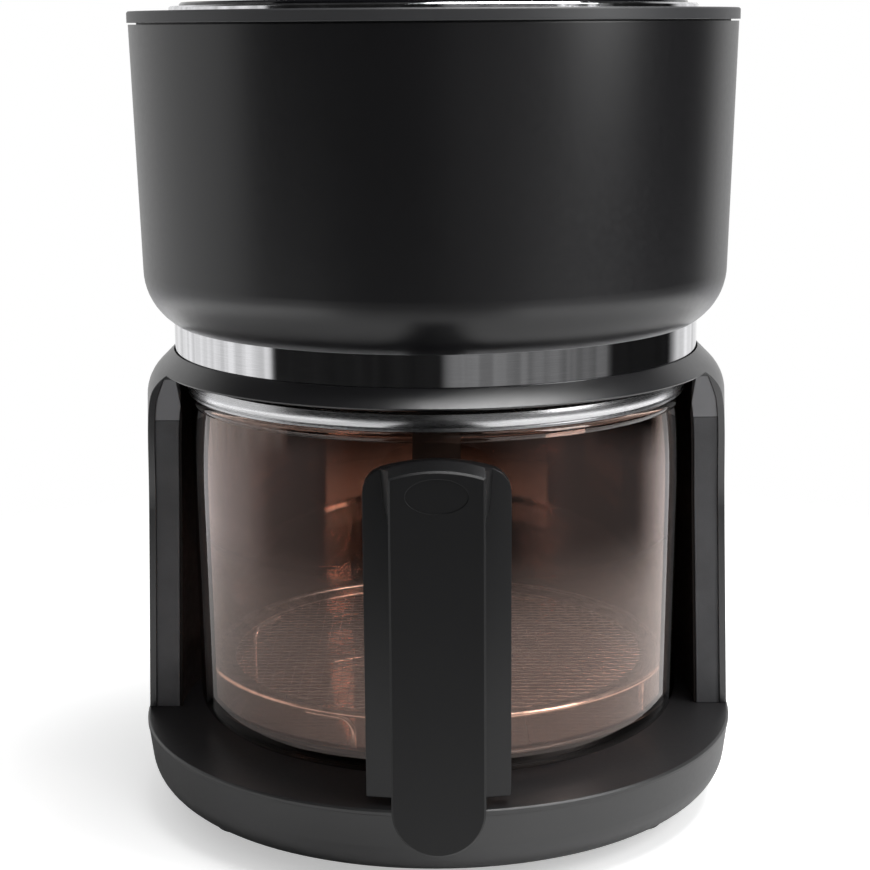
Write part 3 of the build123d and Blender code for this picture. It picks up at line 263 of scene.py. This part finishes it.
def soft_rubber(name, colour, roughness):
    """Rubber or silicone: dull, with a dusty mottle."""
    paint = Paint(name, colour, roughness, Specular_IOR_Level=0.35)
    paint.vary_colour(paint.noise(per_metre=120, detail=5), dark=0.85, light=1.2)
    paint.vary_roughness(paint.noise(per_metre=300), spread=0.06)
    paint.soften_edges(0.4 * MM)
    paint.bump(paint.noise(per_metre=1500), height=0.02 * MM, strength=0.4)
    return paint.material


def glass(name, colour):
    """Clear tinted glass with the faint waviness of a pressed pot, warm in its mirror images too."""
    paint = Paint(name, colour, roughness=0.0, Transmission_Weight=1.0, IOR=1.47)
    paint.shader.inputs["Specular Tint"].default_value = (1.0, 0.72, 0.62, 1)
    paint.shader.inputs["Coat Weight"].default_value = 0.5
    paint.shader.inputs["Coat IOR"].default_value = 1.6
    paint.shader.inputs["Coat Roughness"].default_value = 0.0
    paint.bump(paint.noise(per_metre=6, detail=0), height=0.03 * MM, strength=0.2)
    return paint.material


def circuit_board(name):
    """Green board with printed tracks."""
    paint = Paint(name, (0.02, 0.13, 0.06), roughness=0.35)
    tracks = paint.add("ShaderNodeTexBrick", Scale=180.0, Mortar_Size=0.05)
    tracks.inputs["Color1"].default_value = (0.02, 0.15, 0.07, 1)
    tracks.inputs["Color2"].default_value = (0.015, 0.11, 0.05, 1)
    tracks.inputs["Mortar"].default_value = (0.05, 0.24, 0.1, 1)
    paint.link(paint.place, tracks.inputs["Vector"])
    paint.link(tracks.outputs["Color"], paint.shader.inputs["Base Color"])
    paint.bump(tracks.outputs["Fac"], height=0.03 * MM, strength=0.5)
    return paint.material


def fibre(name, colour):
    """Pressed mineral wool."""
    paint = Paint(name, colour, roughness=0.95, Specular_IOR_Level=0.1)
    strands = paint.noise(per_metre=700, stretch=(1, 1, 0.2), detail=6, rough=0.7)
    paint.vary_colour(strands, dark=0.7, light=1.15)
    paint.bump(strands, height=0.4 * MM, strength=0.8)
    return paint.material


# From CAP_TOP up, the collar liner's ring lies in shadow under the collar; it is painted near-black there
# as painted shade, not its own colour.
CAP_TOP = 195.5 * MM
CAP_GREY = (0.16, 0.162, 0.170)
PAINTED_SHADE_BLACK = (0.006, 0.006, 0.0065)

finishes = {
    "head": moulded("head_satin", (0.0040, 0.0038, 0.0046), 0.31, specular=0.62),
    "lid": moulded("lid_satin", (0.031, 0.0315, 0.0335), 0.42),
    "frame": moulded("frame_satin", (0.0100, 0.0098, 0.0110), 0.29, grain=0.006 * MM, specular=1.0),
    "base": moulded("base_satin", (0.0085, 0.0083, 0.0092), 0.42, grain=0.012 * MM, specular=1.0),
    "cap": capped_with_painted_shade("cap_satin_painted_shade", CAP_GREY, painted_shade_colour=PAINTED_SHADE_BLACK, height=CAP_TOP, roughness=0.42),
    "trim": leathery("trim_grain", (0.052, 0.0525, 0.056), 0.6),
    "liner": leathery("liner_grain", (0.0075, 0.0055, 0.005), 0.6, depth=0.02 * MM, specular=0.12),
    "handle": moulded("handle_satin", (0.0045, 0.0045, 0.0052), 0.32),
    "grip": moulded("grip_satin", (0.0040, 0.0040, 0.0045), 0.42, edge=0.25 * MM, specular=0.35),
    "neck": turned("neck_polish", (0.82, 0.82, 0.84), 0.06),
    "rim": turned("rim_satin", (0.63, 0.63, 0.64), 0.27),
    "chrome": plain_metal("trim_chrome", (0.8, 0.8, 0.82), 0.08),
    "wire": plain_metal("rack_wire", (0.90, 0.90, 0.90), 0.22),
    "sheet": plain_metal("sheet_steel", (0.5, 0.5, 0.51), 0.35),
    "screw": plain_metal("screw_steel", (0.4, 0.4, 0.41), 0.35),
    "blackened": plain_metal("black_coat", (0.015, 0.015, 0.015), 0.45, metallic=0.0),
    "coil": plain_metal("heat_dark", (0.09, 0.08, 0.075), 0.5, metallic=0.7),
    "aluminium": plain_metal("fan_aluminium", (0.6, 0.6, 0.61), 0.4),
    "zinc": plain_metal("zinc_coat", (0.35, 0.36, 0.38), 0.45, metallic=0.8),
    "rotor": turned("rotor_stack", (0.45, 0.26, 0.14), 0.4, depth=0.02 * MM),
    "bronze": plain_metal("sintered_bronze", (0.45, 0.28, 0.12), 0.5),
    "panel": moulded("panel_gloss", (0.006, 0.006, 0.007), 0.06, grain=0.002 * MM, edge=0.4 * MM),
    "rubber": soft_rubber("foot_rubber", (0.02, 0.02, 0.02), 0.8),
    "silicone": soft_rubber("seal_silicone", (0.03, 0.03, 0.031), 0.6),
    "board": circuit_board("board_green"),
    "wool": fibre("mineral_wool", (0.62, 0.59, 0.52)),
    "pot": glass("amber_glass", (0.92, 0.66, 0.55)),
}

dressed = {
    "head": ["head_shell"],
    "lid": ["top_cover"],
    "frame": ["frame_shell"],
    "cap": ["collar_liner"],
    "base": ["base_shell", "deck_plate"],
    "trim": ["jamb_trim_left", "jamb_trim_right", "rear_vent", "neck_core"],
    "liner": ["cavity_liner", "bottom_plate", "interlock_switch"],
    "handle": ["handle_plate", "switch_plunger"],
    "grip": ["handle_grip"],
    "neck": ["neck_band"],
    "rim": ["pot_rim_ring"],
    "chrome": ["panel_trim_ring"],
    "wire": ["rack_rim", "rack_mesh", "rack_legs"],
    "sheet": ["heat_dome", "motor_shaft", "temperature_probe"],
    "screw": ["base_screws", "neck_screws", "board_screws", "motor_screws", "handle_screws"],
    "blackened": ["guard_grille", "handle_strap", "handle_bracket"],
    "coil": ["heater_coil"],
    "aluminium": ["hot_air_fan", "cooling_fan"],
    "zinc": ["motor_body", "motor_bracket"],
    "rotor": ["motor_rotor"],
    "bronze": ["motor_bearings"],
    "panel": ["touch_panel", "display_module"],
    "rubber": ["feet", "cord_gland"],
    "silicone": ["rim_seal", "glass_bushings", "handle_buffer", "guide_pads", "thermal_fuse"],
    "board": ["control_board", "power_board"],
    "wool": ["insulation_disc"],
    "pot": ["glass_pot"],
}


def dress(piece, material):
    piece.data.materials.clear()
    piece.data.materials.append(material)


for finish, names in dressed.items():
    for name in names:
        dress(nodes[name], finishes[finish])

# Lamp light reaches what stands in and behind the pot
nodes["glass_pot"].visible_shadow = False


# Rack mesh: real woven wires in place of the holed disc
MESH_PITCH = 4.2 * MM
MESH_WIRE = 0.22 * MM
WIRE_SIDES = 5
STEPS_PER_PITCH = 2
SHORTEST_HALF = 2 * MESH_PITCH


def tube(points, radius):
    """Rings and faces of a round tube along the points."""
    rings, faces = [], []
    for i, point in enumerate(points):
        before, after = points[max(0, i - 1)], points[min(len(points) - 1, i + 1)]
        way = (after - before).normalized()
        side = way.cross(Vector((0, 0, 1))).normalized()
        up = side.cross(way)
        for k in range(WIRE_SIDES):
            turn = 2 * pi * k / WIRE_SIDES
            rings.append(point + radius * (cos(turn) * side + sin(turn) * up))
    for i in range(len(points) - 1):
        for k in range(WIRE_SIDES):
            a, b = i * WIRE_SIDES + k, i * WIRE_SIDES + (k + 1) % WIRE_SIDES
            faces.append((a, b, b + WIRE_SIDES, a + WIRE_SIDES))
    faces.append(tuple(range(WIRE_SIDES)))
    faces.append(tuple(reversed(range(len(rings) - WIRE_SIDES, len(rings)))))
    return rings, faces


def mesh_object(name, verts, faces, smooth=True):
    data = bpy.data.meshes.new(name)
    data.from_pydata([tuple(v) for v in verts], [], faces)
    data.update()
    for face in data.polygons:
        face.use_smooth = smooth
    piece = bpy.data.objects.new(name, data)
    bpy.context.scene.collection.objects.link(piece)
    return piece


def woven_disc(name, radius, height):
    """Round piece of cloth woven from wires along X and Y that pass over and under each other."""
    verts, faces = [], []
    half_count = int(radius / MESH_PITCH)
    for along_x in (True, False):
        for row in range(-half_count, half_count + 1):
            offset = row * MESH_PITCH
            half = sqrt(max(0, radius**2 - offset**2))
            if half < SHORTEST_HALF:
                continue
            steps = 2 * int(STEPS_PER_PITCH * half / MESH_PITCH)
            points = []
            for i in range(steps + 1):
                run = -half + 2 * half * i / steps
                phase = run / MESH_PITCH + row + (0 if along_x else 1)
                at = height + MESH_WIRE * cos(pi * phase)
                points.append(Vector((run, offset, at) if along_x else (offset, run, at)))
            start = len(verts)
            ring, quads = tube(points, MESH_WIRE)
            verts += ring
            faces += [tuple(start + v for v in face) for face in quads]
    return mesh_object(name, verts, faces)


mesh_low, mesh_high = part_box("rack_mesh")
rack_weave = woven_disc("rack_weave", reach("rack_mesh"), (mesh_low.z + mesh_high.z) / 2)
dress(rack_weave, finishes["wire"])
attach(rack_weave, "rack")
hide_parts("rack_mesh")


# Floor
FLOOR_RADIUS = 0.60
FLOOR_FADE = 0.25
FLOOR_SIDES = 96
FLOOR_GLOW = 0.42


def add_floor():
    """A pale disc that fades into the white backdrop, so polished steel sees the room past it."""
    turns = [2 * pi * k / FLOOR_SIDES for k in range(FLOOR_SIDES)]
    rim = [(FLOOR_RADIUS * cos(turn), FLOOR_RADIUS * sin(turn), 0) for turn in turns]
    floor = mesh_object("floor", rim, [tuple(range(FLOOR_SIDES))], smooth=False)
    paint = Paint("floor_white", (0.9, 0.9, 0.9), 0.9, Specular_IOR_Level=0.0)
    path = paint.add("ShaderNodeLightPath")
    glow = paint.math("MULTIPLY", path.outputs["Is Camera Ray"], FLOOR_GLOW)
    paint.shader.inputs["Emission Color"].default_value = (1, 1, 1, 1)
    paint.link(glow, paint.shader.inputs["Emission Strength"])
    middle = paint.add("ShaderNodeVectorMath", operation="LENGTH")
    paint.link(paint.place, middle.inputs[0])
    far = middle.outputs["Value"]
    fade = paint.remap(far, FLOOR_RADIUS, FLOOR_RADIUS - FLOOR_FADE, interpolation_type="SMOOTHSTEP")
    paint.link(fade, paint.shader.inputs["Alpha"])
    floor.data.materials.append(paint.material)


# Room that the finishes mirror. Each band is a share of the turn from behind, past the left, the
# front (0.5) and the right, with the grey there: bright behind, a dark front, a grey screen at its right.
ROOM_BANDS = (
    (0.000, 0.95),
    (0.240, 0.90),
    (0.292, 0.82),
    (0.298, 0.012),
    (0.505, 0.012),
    (0.520, 0.22),
    (0.715, 0.14),
    (0.725, 0.010),
    (0.835, 0.010),
    (0.850, 0.45),
    (0.875, 0.95),
    (1.000, 0.95),
)
STREAK_COUNT = 60
STREAK_DARK = 0.70
STREAK_SPAN = (0.35, 0.65)
# Far part of the table, which rays see that leave a little downward, then its near part
TABLE_BANDS = (
    (0.00, 0.95),
    (0.22, 0.75),
    (0.27, 0.30),
    (0.34, 0.22),
    (0.39, 0.02),
    (0.57, 0.02),
    (0.66, 0.30),
    (0.80, 0.15),
    (0.86, 0.92),
    (1.00, 0.95),
)
NEAR_BANDS = ((0.0, 1.0), (0.37, 1.0), (0.40, 0.25), (0.57, 0.25), (0.60, 1.0), (1.0, 1.0))
NEAR_GAIN = 1.9
CEILING = 0.03
COOL_TINT = 1.03
# Heights of a ray's direction between which one part of the room gives way to the next
TABLE_FROM = (-0.205, -0.225)
NEAR_FROM = (-0.305, -0.338)
CEILING_FROM = (0.40, 0.62)
WORLD_LIGHT = 0.55


def add_world():
    """White for the camera, an even soft grey for light, and the room for mirror images."""
    world = bpy.data.worlds.new("world")
    bpy.context.scene.world = world
    world.use_nodes = True
    graph = Graph(world.node_tree)
    graph.tree.nodes.clear()

    def bands(share, greys):
        return graph.ramp(share, [(at, (grey, grey, grey * COOL_TINT)) for at, grey in greys])

    place = graph.add("ShaderNodeTexCoord")
    way = graph.add("ShaderNodeSeparateXYZ")
    graph.link(place.outputs["Generated"], way.inputs["Vector"])
    rise = way.outputs["Z"]
    turn = graph.math("ARCTAN2", way.outputs["X"], graph.math("MULTIPLY", way.outputs["Y"], -1))
    share = graph.remap(turn, -pi, pi)

    streaks = graph.add("ShaderNodeTexNoise", noise_dimensions="1D", Scale=STREAK_COUNT)
    graph.link(share, streaks.inputs["W"])
    lit = graph.remap(streaks.outputs["Fac"], *STREAK_SPAN)
    shade = graph.math("MULTIPLY_ADD", lit, 1 - STREAK_DARK, STREAK_DARK)
    walls = graph.math("MULTIPLY", bands(share, ROOM_BANDS), shade)
    near = graph.math("MULTIPLY", bands(share, NEAR_BANDS), NEAR_GAIN)
    room = graph.mix(graph.remap(rise, *TABLE_FROM), walls, bands(share, TABLE_BANDS))
    room = graph.mix(graph.remap(rise, *NEAR_FROM), room, near)
    room = graph.mix(graph.remap(rise, *CEILING_FROM), room, (CEILING, CEILING, CEILING, 1))

    path = graph.add("ShaderNodeLightPath")
    mirrored = graph.math("GREATER_THAN", path.outputs["Glossy Depth"], 0.5)
    straight = graph.math("LESS_THAN", path.outputs["Glossy Depth"], 0.5)
    through = graph.math("MULTIPLY", path.outputs["Is Transmission Ray"], straight)
    clear = graph.math("MAXIMUM", path.outputs["Is Camera Ray"], through)
    light = (WORLD_LIGHT, WORLD_LIGHT, WORLD_LIGHT, 1)
    colour = graph.mix(clear, graph.mix(mirrored, light, room), (1, 1, 1, 1))
    background = graph.add("ShaderNodeBackground")
    graph.link(colour, background.inputs["Color"])
    out = graph.add("ShaderNodeOutputWorld")
    graph.link(background.outputs["Background"], out.inputs["Surface"])


def add_lamp(name, at, aim, size, power):
    data = bpy.data.lights.new(name, "AREA")
    data.shape = "RECTANGLE"
    data.size, data.size_y = size
    data.energy = power
    lamp = bpy.data.objects.new(name, data)
    bpy.context.scene.collection.objects.link(lamp)
    lamp.location = at
    lamp.visible_camera = False
    lamp.rotation_mode = "QUATERNION"
    lamp.rotation_quaternion = (Vector(aim) - Vector(at)).to_track_quat("-Z", "Y")


add_floor()
add_world()
add_lamp("key", at=(0.95, -0.55, 0.75), aim=(0, 0, 0.25), size=(0.45, 0.8), power=8)
add_lamp("top", at=(0.30, -0.12, 1.30), aim=(0.05, 0, 0.2), size=(0.85, 0.6), power=14.5)

bpy.context.scene.view_settings.view_transform = "Standard"
